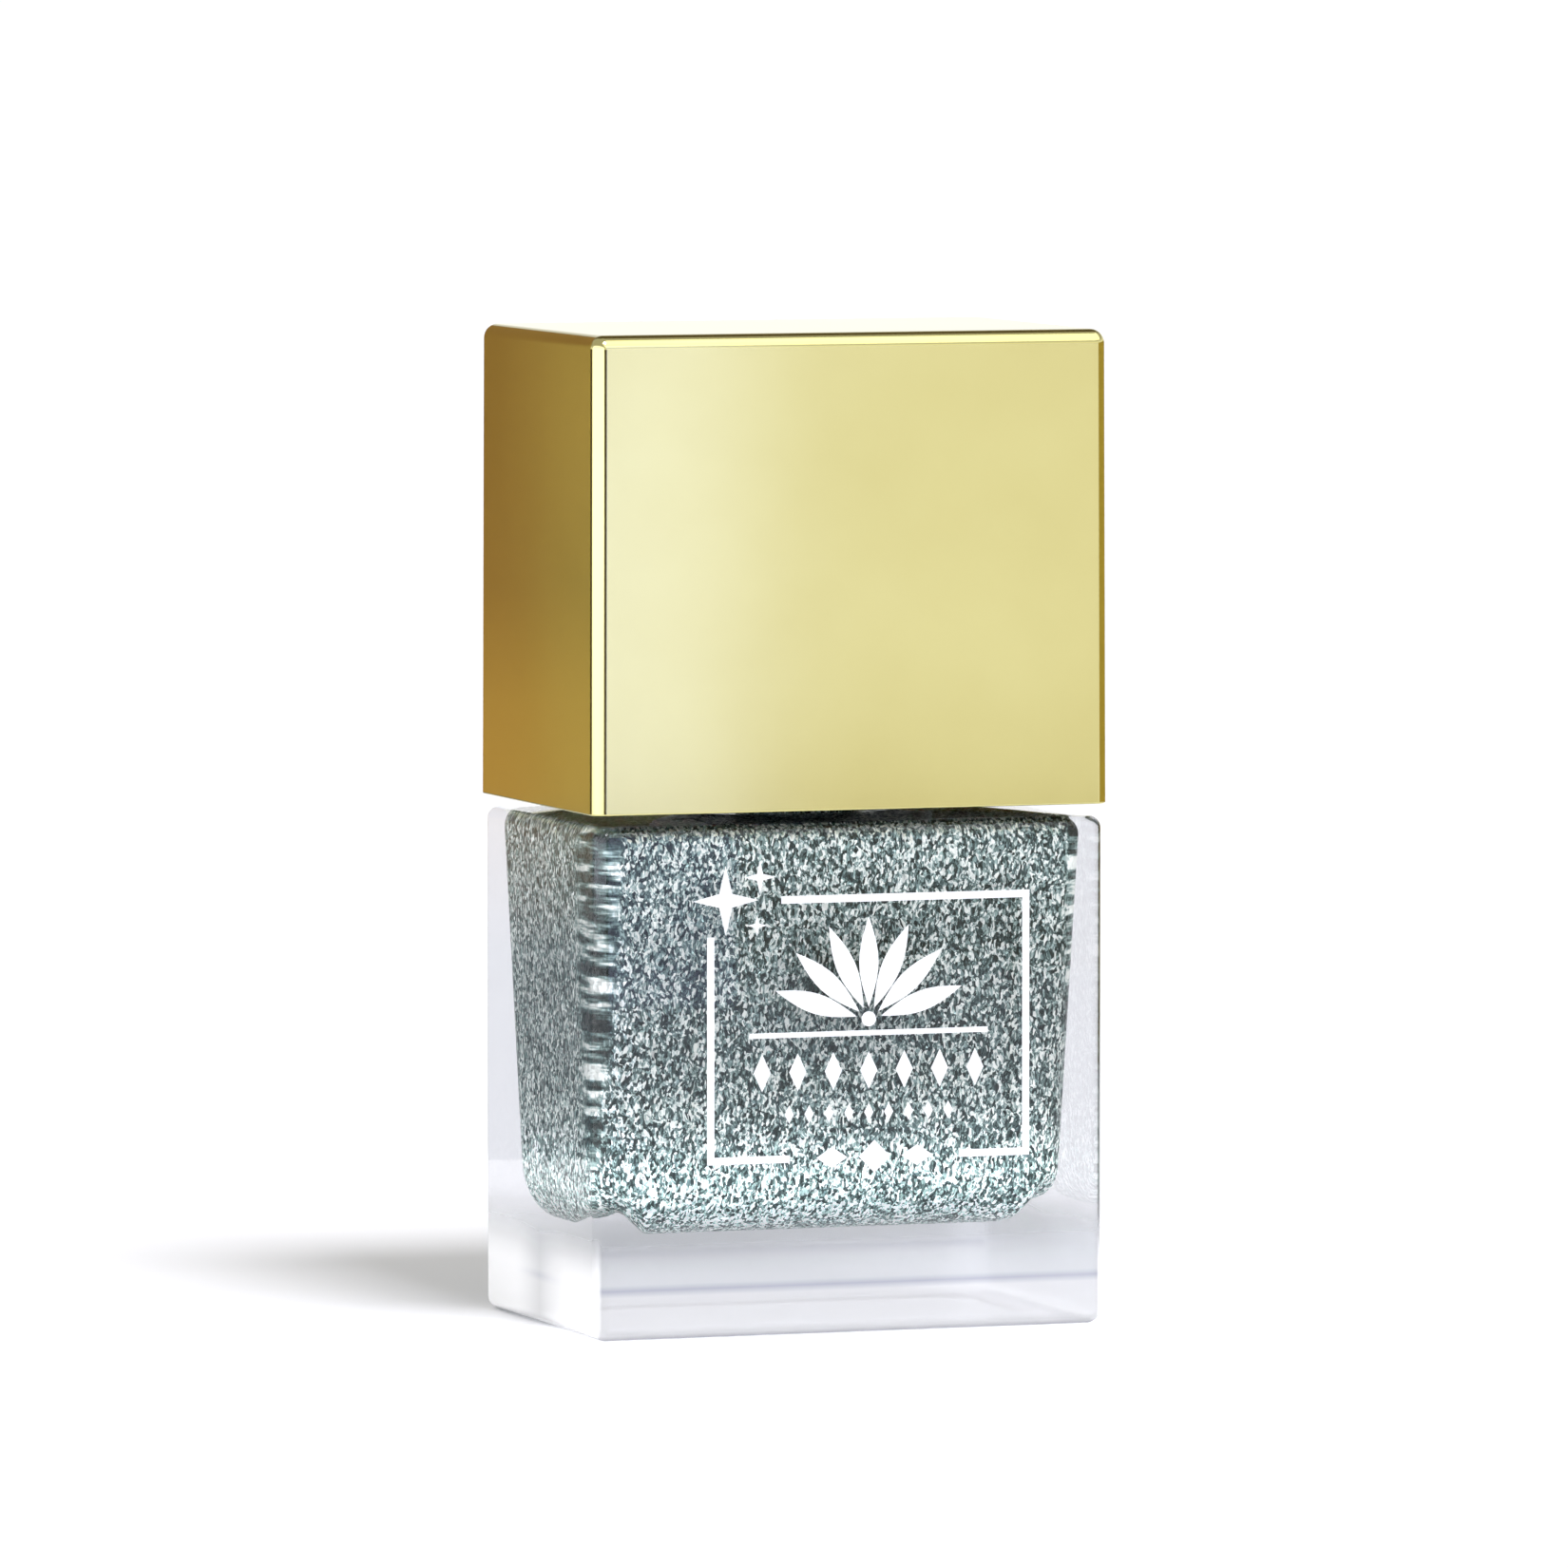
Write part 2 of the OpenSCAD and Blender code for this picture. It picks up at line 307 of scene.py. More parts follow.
def loft(name: str, rings: Sequence[Ring], count: int = 96) -> Piece:
    """Draws a wall by extruding one outline through all the others, and closes its ends.

    Args:
        name: Name of the new object.
        rings: The outlines, in order along the wall.
        count: Points on each outline, a multiple of four.

    Returns:
        The new object.
    """
    obj = primitive("circle", name, vertices=count, radius=MM)
    with editing(obj):
        bpy.context.tool_settings.mesh_select_mode = (True, False, False)
        mesh = bmesh.from_edit_mesh(obj.data)
        slots = mesh.verts.layers.int.new("slot")
        for index, vert in enumerate(mesh.verts):
            vert[slots] = index
            vert.co = rings[0].point(index, count)
        bmesh.update_edit_mesh(obj.data)
        bpy.ops.mesh.select_all(action="SELECT")
        for ring in rings[1:]:
            bpy.ops.mesh.extrude_edges_move()
            mesh = bmesh.from_edit_mesh(obj.data)
            slots = mesh.verts.layers.int["slot"]
            for vert in mesh.verts:
                if vert.select:
                    vert.co = ring.point(vert[slots], count)
            bmesh.update_edit_mesh(obj.data)
        bpy.ops.mesh.edge_face_add()
        pick(obj, Element.EDGE, lambda edge: edge.is_boundary)
        bpy.ops.mesh.edge_face_add()
    return obj


# ---------------------------------------------------------------- finishes


def srgb(code: str) -> tuple[float, float, float, float]:
    """Linear colour of an sRGB hex code."""
    parts = [int(code[k : k + 2], 16) / 255 for k in (1, 3, 5)]
    linear = [c / 12.92 if c <= 0.04045 else ((c + 0.055) / 1.055) ** 2.4 for c in parts]
    return (linear[0], linear[1], linear[2], 1.0)


def per_metre(size_mm: float) -> float:
    """Texture scale that makes one cell or wave of a size in millimetres."""
    return 1.0 / (size_mm * MM)


def feed(node: bpy.types.Node, inputs: Inputs) -> None:
    """Sets a node's inputs to values, or links them from sockets."""
    for key, value in inputs.items():
        if isinstance(value, Socket):
            node.id_data.links.new(value, node.inputs[key])
        else:
            node.inputs[key].default_value = value


def add_node(tree: bpy.types.NodeTree, kind: str, inputs: Inputs, out: Any = 0, **settings: Any) -> Socket:
    """Adds a node with its settings and links.

    Args:
        tree: The material's or world's node tree.
        kind: The node's type, after ShaderNode.
        inputs: Values and sockets for its inputs.
        out: Name or number of the output that is wanted.
        settings: The node's own attributes.

    Returns:
        The wanted output.
    """
    node = tree.nodes.new(f"ShaderNode{kind}")
    for key, value in settings.items():
        setattr(node, key, value)
    feed(node, inputs)
    return node.outputs[out]


def set_ramp(colour: Socket, tones: Tones) -> Socket:
    """Gives a colour ramp its stops.

    Args:
        colour: The ramp's output.
        tones: Its stops, in rising order.

    Returns:
        The same output.
    """
    elements = colour.node.color_ramp.elements
    while len(elements) < len(tones):
        elements.new(0.5)
    for element, (position, code) in zip(elements, tones):
        element.position = position
        element.color = srgb(code)
    return colour


def mark_corners(add: Adder, place: Socket, corner: Point, span: Point, fade: float, behind: Point) -> Socket:
    """Marks the upright edges of a block.

    Args:
        add: Adds a node to the material.
        place: The object coordinates.
        corner: Half sizes of the block, in millimetres.
        span: Slope along each axis at which the mark runs out, per metre.
        fade: Share of the span at which the mark begins to fade.
        behind: Slope that also ends the mark towards the back, per metre.

    Returns:
        A factor that is 1 along the edges and 0 elsewhere.
    """
    folded = add("VectorMath", {0: place}, operation="ABSOLUTE")
    inward = add("VectorMath", {0: Vector(corner) * MM, 1: folded}, operation="SUBTRACT")
    reach = add("VectorMath", {0: inward, 1: span}, "Value", operation="DOT_PRODUCT")
    back = add("VectorMath", {0: place, 1: behind}, "Value", operation="DOT_PRODUCT")
    farther = add("Math", {0: reach, 1: back}, operation="MAXIMUM")
    return add(
        "MapRange", {"Value": farther, "From Min": fade, "From Max": 1.0, "To Min": 1.0, "To Max": 0.0},
        interpolation_type="SMOOTHSTEP",
    )


@dataclass(frozen=True)
class Finish:
    """What every finish has: its name and the shader's constant settings."""

    name: str
    roughness: float
    metallic: float = 0.0
    ior: float = 1.5

    def build(self) -> bpy.types.Material:
        """Makes the material: the shader's constants, then what is drawn on the surface."""
        material = bpy.data.materials.new(self.name)
        material.use_nodes = True
        tree = material.node_tree
        shader = tree.nodes["Principled BSDF"]
        feed(shader, {"Roughness": self.roughness, "Metallic": self.metallic, "IOR": self.ior})
        add = partial(add_node, tree)
        feed(shader, self.draw(add, add("TexCoord", {}, "Object")))
        return material

    def draw(self, add: Adder, place: Socket) -> Inputs:
        """Draws the surface.

        Args:
            add: Adds a node to the material.
            place: The object coordinates, in metres.

        Returns:
            What the shader's inputs get.
        """
        raise NotImplementedError


@dataclass(frozen=True)
class ClearGlass(Finish):
    """Pressed flint glass, fire polished: clear walls on a thick foot that goes milky, with painted contact shade
    along the heel, a faint painted dark line across the foot and a painted highlight along its upright edges.
    """

    wave_mm: float = 9.0
    wave_depth_mm: float = 0.004
    coat: float = 0.7
    coat_ior: float = 1.5
    dark_line_z: float = 3.35
    foot_z: float = 3.6
    clear_z: float = 8.6
    milk: float = 0.66
    highlight_milk: float = 0.95
    highlight_x: float = 0.5
    highlight_y: float = 15.0
    highlight_fade: float = 0.4

    def draw(self, add: Adder, place: Socket) -> Inputs:
        """Draws the tones of the foot, its milk, the painted highlight along its upright edges and the waves of the
        wall.
        """
        height = add("SeparateXYZ", {"Vector": place}, "Z")
        along = add("MapRange", {"Value": height, "From Min": 0.0, "From Max": self.clear_z * MM})
        dark_line_share = self.dark_line_z / self.clear_z
        # the ramp paints contact shade as a thin grey line along the heel, and a faint painted dark line across the
        # foot, lighter below that line and greyer above it
        tone = set_ramp(add("ValToRGB", {"Fac": along}), (
            (0.0, "#A6A6AB"), (0.045, "#E4E4E4"), (dark_line_share - 0.05, "#E3E3E4"), (dark_line_share, "#B8BAC6"),
            (dark_line_share + 0.045, "#D8DADC"), (0.8, "#DDDEE1"), (1.0, "#F0F1F5"),
        ))
        size = NodeBox.of("glass_flask").size
        # painted highlight: in the foot the glass is drawn whiter and milkier along its upright edges and over much
        # of its narrow sides
        span = (per_metre(self.highlight_x), per_metre(self.highlight_y), 0.0)
        edge = mark_corners(add, place, (size.x / 2, size.y / 2, 0.0), span, self.highlight_fade, (0.0,) * 3)
        low = add(
            "MapRange",
            {
                "Value": height, "From Min": self.foot_z * MM, "From Max": self.clear_z * MM,
                "To Min": 1.0, "To Max": 0.0,
            },
            interpolation_type="SMOOTHSTEP",
        )
        painted_highlight = add("Math", {0: low, 1: edge}, operation="MULTIPLY")
        tone_with_painted_light = add("Mix", {"Factor": painted_highlight, 6: tone, 7: srgb("#FFFFFF")}, 2, data_type="RGBA")
        milk = add("Mix", {"Factor": edge, 2: self.milk, 3: self.highlight_milk}, data_type="FLOAT")
        cloudy = add("Math", {0: low, 1: milk}, operation="MULTIPLY")
        clear = add("Math", {0: 1.0, 1: cloudy}, operation="SUBTRACT")
        wave = add("TexNoise", {"Vector": place, "Scale": per_metre(self.wave_mm), "Detail": 1.0})
        bump = add("Bump", {"Height": wave, "Strength": 1.0, "Distance": self.wave_depth_mm * MM})
        return {
            "Base Color": tone_with_painted_light, "Transmission Weight": clear, "Normal": bump,
            "Coat Weight": self.coat, "Coat IOR": self.coat_ior,
        }


@dataclass(frozen=True)
class GlitterPolish(Finish):
    """Nail lacquer packed with cut polyester glitter: every flake lies its own way and has a painted flash or dark
    tone, with painted light and shade by height and painted refraction streaks along the front corners.
    """

    flake_mm: float = 0.18
    fine_mm: float = 0.11
    fine_share: float = 0.38
    drift_mm: float = 1.2
    drift_reach: Point = (0.6, 0.6, 1.0)
    lie: Point = (0.3, 0.45, 0.2)
    flake_stretch: Point = (1.0, 1.0, 0.58)
    streak_mm: float = 0.75
    streak_stretch: Point = (0.12, 0.12, 1.0)
    streak_dark: float = 0.34
    streak_bright: float = 0.66
    tilt: float = 1.0
    foot_z: float = 6.5
    top_z: float = 34.0
    corner: Point = (16.6, 10.3, 0.0)
    corner_x: float = 1.2
    corner_y: float = 5.6
    corner_fade: float = 0.45
    front_y: float = 2.0
    brightest: float = 3.0
    tones: Tones = ((0.26, "#162220"), (0.44, "#4B605C"), (0.60, "#93ABA4"), (0.76, "#FBFFF6"))
    # painted light and shade by height: brightness from the foot (0) to the top (1)
    height_shade_curve: tuple[tuple[float, float], ...] = ((0.0, 1.0), (1.0, 0.32), (0.12, 0.84), (0.27, 0.33), (0.45, 0.24))

    def scatter(self, add: Adder, place: Socket) -> Socket:
        """Scatters flakes of two sizes in slanted drifts.

        Args:
            add: Adds a node to the material.
            place: The object coordinates.

        Returns:
            A random colour for each flake.
        """
        drift = add("TexNoise", {"Vector": place, "Scale": per_metre(self.drift_mm), "Detail": 2.0}, "Color")
        shift = Vector(self.drift_reach) * MM
        shifted = add("VectorMath", {0: drift, 1: shift, 2: place}, operation="MULTIPLY_ADD")
        lying = add("Mapping", {"Vector": shifted, "Rotation": self.lie, "Scale": self.flake_stretch})
        large, fine = (
            add("TexVoronoi", {"Vector": lying, "Scale": per_metre(size)}, "Color")
            for size in (self.flake_mm, self.fine_mm)
        )
        return add("Mix", {"Factor": self.fine_share, 6: large, 7: fine}, 2, data_type="RGBA")

    def paint_corner_refraction(self, add: Adder, place: Socket, flakes: Socket) -> Socket:
        """Paints streaks along the two front corners, standing in for the refraction of the glass corners.

        Args:
            add: Adds a node to the material.
            place: The object coordinates.
            flakes: The random colour of each flake.

        Returns:
            How brightly each place flashes.
        """
        drawn = add("Mapping", {"Vector": place, "Scale": self.streak_stretch})
        scale = per_metre(self.streak_mm)
        streaks = add("TexNoise", {"Vector": drawn, "Scale": scale, "Detail": 3.0, "Roughness": 0.62})
        sharper = add(
            "MapRange", {"Value": streaks, "From Min": self.streak_dark, "From Max": self.streak_bright}
        )
        # painted refraction: streaks along the front corners, where the glass corners bend the light
        span = (per_metre(self.corner_x), per_metre(self.corner_y), 0.0)
        refraction_mask = mark_corners(add, place, self.corner, span, self.corner_fade, (0.0, per_metre(self.front_y), 0.0))
        tone = add("SeparateColor", {"Color": flakes}, "Red")
        return add("Mix", {"Factor": refraction_mask, 2: tone, 3: sharper}, data_type="FLOAT")

    def paint_height_shade(self, add: Adder, place: Socket) -> Socket:
        """Paints light and shade by height: the polish is brighter towards the foot and darker towards the top.

        Args:
            add: Adds a node to the material.
            place: The object coordinates.

        Returns:
            The factor of painted light and shade that scales the colour.
        """
        height = add("SeparateXYZ", {"Vector": place}, "Z")
        rise = add("MapRange", {"Value": height, "From Min": self.foot_z * MM, "From Max": self.top_z * MM})
        height_shade = add("FloatCurve", {"Value": rise})
        mapping = height_shade.node.mapping
        curve = mapping.curves[0]
        for point, location in zip(curve.points, self.height_shade_curve[:2]):
            point.location = location
        for location in self.height_shade_curve[2:]:
            curve.points.new(*location)
        mapping.update()
        return height_shade

    def draw(self, add: Adder, place: Socket) -> Inputs:
        """Draws the flakes, each with its own painted flash and its own tilted normal, which gives real reflections
        as well.
        """
        flakes = self.scatter(add, place)
        # painted flash: each flake's random tone runs from dark to white, and its tilted normal adds real
        # reflections
        ramp = set_ramp(add("ValToRGB", {"Fac": self.paint_corner_refraction(add, place, flakes)}), self.tones)
        # painted light and shade by height scales the flake colour
        height_shaded = add("VectorMath", {0: ramp, "Scale": self.paint_height_shade(add, place)}, operation="SCALE")
        colour = add("VectorMath", {0: height_shaded, "Scale": self.brightest}, operation="SCALE")
        lean, centre = (self.tilt,) * 3, (-self.tilt / 2,) * 3
        centred = add("VectorMath", {0: flakes, 1: lean, 2: centre}, operation="MULTIPLY_ADD")
        tilted = add("VectorMath", {0: add("NewGeometry", {}, "Normal"), 1: centred}, operation="ADD")
        return {"Base Color": colour, "Normal": add("VectorMath", {0: tilted}, operation="NORMALIZE")}


@dataclass(frozen=True)
class PlainFinish(Finish):
    """A solid colour with a second, mottled tone and a fine raised grain."""

    light: str = "#FFFFFF"
    dark: str = "#E0E0E0"
    mottle_mm: float = 3.0
    grain_mm: float = 0.15
    grain_depth_mm: float = 0.004
    stretch: Point = (1.0, 1.0, 1.0)
    roughness_swing: float = 0.08
    subsurface: float = 0.0

    def draw(self, add: Adder, place: Socket) -> Inputs:
        """Draws the mottle, which also swings the gloss, and the grain."""
        along = add("Mapping", {"Vector": place, "Scale": self.stretch})
        mottle = add("TexNoise", {"Vector": along, "Scale": per_metre(self.mottle_mm), "Detail": 3.0})
        colour = set_ramp(add("ValToRGB", {"Fac": mottle}), ((0.35, self.dark), (0.65, self.light)))
        grain = add("TexNoise", {"Vector": along, "Scale": per_metre(self.grain_mm), "Detail": 2.0})
        low, high = self.roughness - self.roughness_swing, self.roughness + self.roughness_swing
        return {
            "Base Color": colour,
            "Roughness": add("MapRange", {"Value": mottle, "To Min": low, "To Max": high}),
            "Normal": add("Bump", {"Height": grain, "Strength": 1.0, "Distance": self.grain_depth_mm * MM}),
            "Subsurface Weight": self.subsurface, "Subsurface Scale": MM,
        }


@dataclass(frozen=True)
class TonedBoard(Finish):
    """Matt board sprayed in tones that change with the height, a little cloudy."""

    tones: Tones = ((0.0, "#808080"), (0.3, "#8A8A8A"))
    cloud_mm: float = 30.0
    cloud_shift: float = 0.03

    def draw(self, add: Adder, place: Socket) -> Inputs:
        """Draws the tones from the lower edge to the upper one."""
        low, high = self.tones[0][0], self.tones[-1][0]
        height = add("SeparateXYZ", {"Vector": place}, "Z")
        cloud = add("TexNoise", {"Vector": place, "Scale": per_metre(self.cloud_mm)})
        along = add("MapRange", {"Value": height, "From Min": low, "From Max": high})
        drift = add("Math", {0: cloud, 1: self.cloud_shift, 2: along}, operation="MULTIPLY_ADD")
        shares = tuple(((z - low) / (high - low), code) for z, code in self.tones)
        return {"Base Color": set_ramp(add("ValToRGB", {"Fac": drift}), shares)}


GLASS = ClearGlass("flint_glass_pressed", roughness=0.0, ior=1.045)
POLISH = GlitterPolish("lacquer_with_polyester_glitter", roughness=0.3, metallic=0.55)
# ABS vacuum metallised under a tinted lacquer: a satin gold mirror that blurs what it reflects
GOLD = PlainFinish(
    "abs_vacuum_metallised_gold", roughness=0.12, metallic=1.0, light="#DAD292", dark="#D5CC8B",
    mottle_mm=14.0, grain_mm=0.12, grain_depth_mm=0.0004, roughness_swing=0.01,
)
# fired ceramic screen ink: dense white, slightly raised, a little uneven in its gloss
INK = PlainFinish(
    "ceramic_screen_ink_white", roughness=0.38, light="#FAFBFC", dark="#EEF0F3",
    mottle_mm=1.5, grain_mm=0.09, grain_depth_mm=0.003,
)
# unpigmented polypropylene, moulded: milky, waxy, soft edges of shadow
NATURAL_PP = PlainFinish(
    "polypropylene_natural_moulded", roughness=0.42, light="#F1EFE6", dark="#E4E1D4",
    mottle_mm=4.0, grain_mm=0.2, subsurface=0.35,
)
# black polypropylene, spark-eroded mould: fine matt grain that greys where it is handled
BLACK_PP = PlainFinish(
    "polypropylene_black_spark_grain", roughness=0.44, light="#232325", dark="#151517",
    mottle_mm=2.5, grain_mm=0.12, grain_depth_mm=0.008,
)
# polyethylene foam with a smooth skin: dull white with small closed cells
FOAM = PlainFinish(
    "polyethylene_foam_liner", roughness=0.6, light="#F5F4EF", dark="#DEDCD2",
    mottle_mm=0.5, grain_mm=0.25, grain_depth_mm=0.03,
)
# black polyethylene, polished mould: glossy rod with faint lines drawn along it
STEM_PE = PlainFinish(
    "polyethylene_black_polished", roughness=0.22, light="#1D1D20", dark="#101012",
    mottle_mm=1.2, grain_mm=0.3, grain_depth_mm=0.002, stretch=(1.0, 1.0, 0.08),
)
# drawn nylon: dark filaments, each with its own tone, shiny along its length
NYLON = PlainFinish(
    "nylon_filament_drawn", roughness=0.3, light="#4A4542", dark="#191716",
    mottle_mm=0.16, grain_mm=0.05, grain_depth_mm=0.001, stretch=(1.0, 1.0, 0.03),
)
# drawn flat brass wire: warm metal with scratches along its length
BRASS = PlainFinish(
    "brass_wire_drawn", roughness=0.28, metallic=1.0, light="#D8B25C", dark="#B88F3E",
    mottle_mm=0.4, grain_mm=0.06, grain_depth_mm=0.002, stretch=(0.1, 1.0, 1.0),
)
# ground stainless steel: bright, with a fine random grind
STEEL = PlainFinish(
    "stainless_steel_ground", roughness=0.16, metallic=1.0, light="#D4D6D8", dark="#B9BCC0",
    mottle_mm=0.8, grain_mm=0.08, grain_depth_mm=0.001,
)
# matt painted board, a shade under white
SWEEP = PlainFinish(
    "studio_board_matt", roughness=0.75, light="#F6F6F6", dark="#F3F3F3",
    mottle_mm=400.0, grain_mm=4.0, grain_depth_mm=0.02,
)
MATERIALS: dict[str, bpy.types.Material] = {}


def dress(obj: Piece, finish: Finish) -> None:
    """Gives an object one finish in every slot, and makes each material only once.

    Args:
        obj: The piece or CAD node.
        finish: Its finish.
    """
    if finish.name not in MATERIALS:
        MATERIALS[finish.name] = finish.build()
    if not obj.material_slots:
        obj.data.materials.append(MATERIALS[finish.name])
    for slot in obj.material_slots:
        slot.material = MATERIALS[finish.name]


def hand_over(obj: Piece, body: str, node: str, finish: Finish) -> None:
    """Dresses a new piece, hangs it on its body and hides the CAD node that it stands for.

    Args:
        obj: The finished piece.
        body: The CAD body that it moves with.
        node: The CAD node that it replaces.
        finish: Its finish.
    """
    dress(obj, finish)
    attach(obj, body)
    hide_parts(node)
    LOG.info("%s: %d faces, rides on %s", obj.name, len(obj.data.polygons), body)


# ---------------------------------------------------------------- the flask


@dataclass(frozen=True)
class Hollow:
    """The space inside the flask, in millimetres: walls that lean in to a round foot."""

    half_w: float
    half_d: float
    floor: float
    ceiling: float
    side_wall: float = 1.1
    side_taper: float = 0.4
    face_wall: float = 1.1
    face_taper: float = 1.6
    top_r: float = 1.1
    foot_r: float = 3.6
    floor_rim: float = 2.4
    least_r: float = 0.3

    def outline(self, z: float, inset: float, grow: float) -> Ring:
        """Draws one outline of the hollow.

        Args:
            z: Its height.
            inset: How far it is drawn in.
            grow: How far it is then let out.

        Returns:
            The outline.
        """
        t = (self.ceiling - z) / (self.ceiling - self.floor)
        x = self.half_w - self.side_wall - self.side_taper * t
        y = self.half_d - self.face_wall - self.face_taper * t
        corner = lerp(self.top_r, self.foot_r, t)
        return Ring(x - inset + grow, y - inset + grow, max(self.least_r, corner - inset) + grow, z)

    def rings(self, grow: float = 0.0) -> list[Ring]:
        """Draws all outlines, from the floor to the ceiling.

        Args:
            grow: How far they are let out.

        Returns:
            The outlines.
        """
        places = [(self.floor, self.foot_r + self.floor_rim)]
        places += [(self.floor + self.foot_r * (1 - c), self.foot_r * (1 - s)) for s, c in quarter(12)]
        low, high = self.floor + self.foot_r, self.ceiling - self.top_r
        places += [(z, 0.0) for z in steps(low, high, 8)[1:-1]]
        places += [(high + self.top_r * s, self.top_r * (1 - c)) for s, c in quarter(8)]
        rings = [self.outline(z, inset, grow) for z, inset in places]
        return [replace(ring, z=ring.z - grow) for ring in rings[:2]] + rings[2:]


@dataclass(frozen=True)
class Thread:
    """A right-handed screw thread as a swelling of a round wall, in millimetres."""

    start_z: float
    turns: float = 1.5
    pitch: float = 2.1
    height: float = 0.7
    width: float = 1.5
    run_out: float = 0.12
    steepness: float = 1.7

    def swell(self, point: Vector) -> float:
        """Measures how far the wall stands out.

        Args:
            point: A point of the wall.

        Returns:
            The height of the thread there.
        """
        angle = math.atan2(point.y, point.x) % (2 * math.pi) / (2 * math.pi)
        best = 0.0
        for turn in range(math.ceil(self.turns) + 1):
            along = turn + angle
            if along > self.turns:
                continue
            off = abs(point.z - self.start_z - self.pitch * along) / (self.width / 2)
            fade = smooth(min(along, self.turns - along) / self.run_out)
            best = max(best, self.height * fade * smooth((1 - off) * self.steepness))
        return best


@dataclass
class Flask:
    """The glass flask and what it holds, in millimetres."""

    box: NodeBox
    floor: float = 6.5
    shoulder: float = 34.3
    crown: float = 0.35
    corner_r: float = 0.95
    heel_r: float = 0.93
    shoulder_r: float = 0.8
    pushup_h: float = 0.16
    pushup_r: float = 2.6
    foot_rim: float = 3.0
    neck_r: float = 5.7
    root_r: float = 1.2
    bead_h: float = 0.5
    bead_z: float = 3.8
    thread_z: float = 6.6
    bore_r: float = 3.6
    bore_fillet: float = 0.8
    lip_r: float = 0.45
    lip_in_r: float = 0.3
    row: float = 0.18
    fill: float = 35.7
    meniscus: float = 0.35
    well_r: float = 2.25
    well_edge: float = 0.1
    well_floor: float = 7.7
    well_foot_r: float = 0.6
    wet: float = 0.03
    roof: float = 0.6
    notch_h: float = 1.35
    notch_at: float = 11.55
    notch_out: float = 1.9
    notch_in: float = 1.65
    notch_lean: float = 0.357
    notch_reach: float = 4.5
    neck_clear: float = 5.0
    sliced: float = 13.0
    cuts_x: tuple[float, float, int] = (9.6, 0.5, 15)  # first place, spacing and number
    cuts_y: tuple[float, float, int] = (-8.6, 0.7, 17)

    def hollow(self) -> Hollow:
        """The flask's hollow."""
        return Hollow(self.box.size.x / 2, self.box.size.y / 2, self.floor, self.shoulder - self.roof)

    def base_rings(self) -> list[Ring]:
        """Outlines from the middle of the push-up to the bearing rim."""
        x, y = self.box.size.x / 2 - self.foot_rim, self.box.size.y / 2 - self.foot_rim
        dome = ((4.5, 1.0), (2.4, 0.99), (1.6, 0.9), (1.2, 0.7), (0.8, 0.4), (0.4, 0.12), (0.1, 0.01))
        rings = [Ring(x - inset, y - inset, self.pushup_r - inset * 0.25, self.pushup_h * h) for inset, h in dome]
        return rings + [Ring(x + 0.15, y + 0.15, self.pushup_r, 0.0)]

    def body_rings(self) -> list[Ring]:
        """Outlines of the heel, the walls and the shoulder."""
        x, y = self.box.size.x / 2, self.box.size.y / 2
        high = self.shoulder - self.crown - self.shoulder_r
        places = [(self.heel_r * (1 - s), self.heel_r * (1 - c)) for s, c in quarter(8)]
        places += [(0.0, z) for z in steps(self.heel_r, high, 6)[1:-1]]
        places += [(self.shoulder_r * (1 - c), high + self.shoulder_r * s) for s, c in quarter(8)]
        rings = [Ring(x - inset, y - inset, self.corner_r - inset, z) for inset, z in places]
        return rings + [Ring(x - 6.5, y - 4.0, 3.0, self.shoulder - 0.02)]

    def neck_radius(self, z: float) -> float:
        """Radius of the neck at a height, with its root fillet and its bead."""
        root = self.root_r * (1 - smooth((z - self.shoulder) / 1.1)) ** 2
        bead = self.bead_h * smooth(1 - abs(z - self.shoulder - self.bead_z) / 0.75)
        return self.neck_r + root + bead

    def neck_rings(self) -> list[Ring]:
        """Outlines of the neck, over the lip and down the bore."""
        top, ceiling = self.box.high.z, self.hollow().ceiling
        high = top - self.lip_r
        rows = round((high - self.shoulder) / self.row)
        places = [(self.neck_radius(z), z) for z in steps(self.shoulder, high, rows)]
        places += [(self.neck_r - self.lip_r * (1 - c), high + self.lip_r * s) for s, c in quarter(6)[1:]]
        places += [(self.bore_r + self.lip_in_r * (1 - s), top - self.lip_in_r * (1 - c)) for s, c in quarter(5)]
        fillet = self.bore_fillet
        places += [(self.bore_r + fillet * (1 - c), ceiling + fillet * (1 - s)) for s, c in quarter(6)]
        return circles(*places)

    def is_inside(self, point: Vector) -> bool:
        """Whether a point of the body's mesh belongs to the hollow and not to the outside."""
        return abs(point.x) < self.box.size.x / 2 - 0.5 and abs(point.y) < self.box.size.y / 2 - 0.5

    def lift_foot(self, point: Vector) -> Vector:
        """Raises the front corners of the hollow's foot to a notch, where its walls run together.

        Args:
            point: A point of the hollow.

        Returns:
            Its new place.
        """
        if point.z >= self.shoulder - self.neck_clear:
            return point
        slant = (abs(point.x) + self.notch_lean * point.y) / math.hypot(1, self.notch_lean)
        off = slant - self.notch_at
        notch = max(0.0, 1 - abs(off) / (self.notch_out if off > 0 else self.notch_in))
        low = 1 - smooth((point.z - self.floor) / self.notch_reach)
        return Vector((point.x, point.y, point.z + self.notch_h * notch * low))

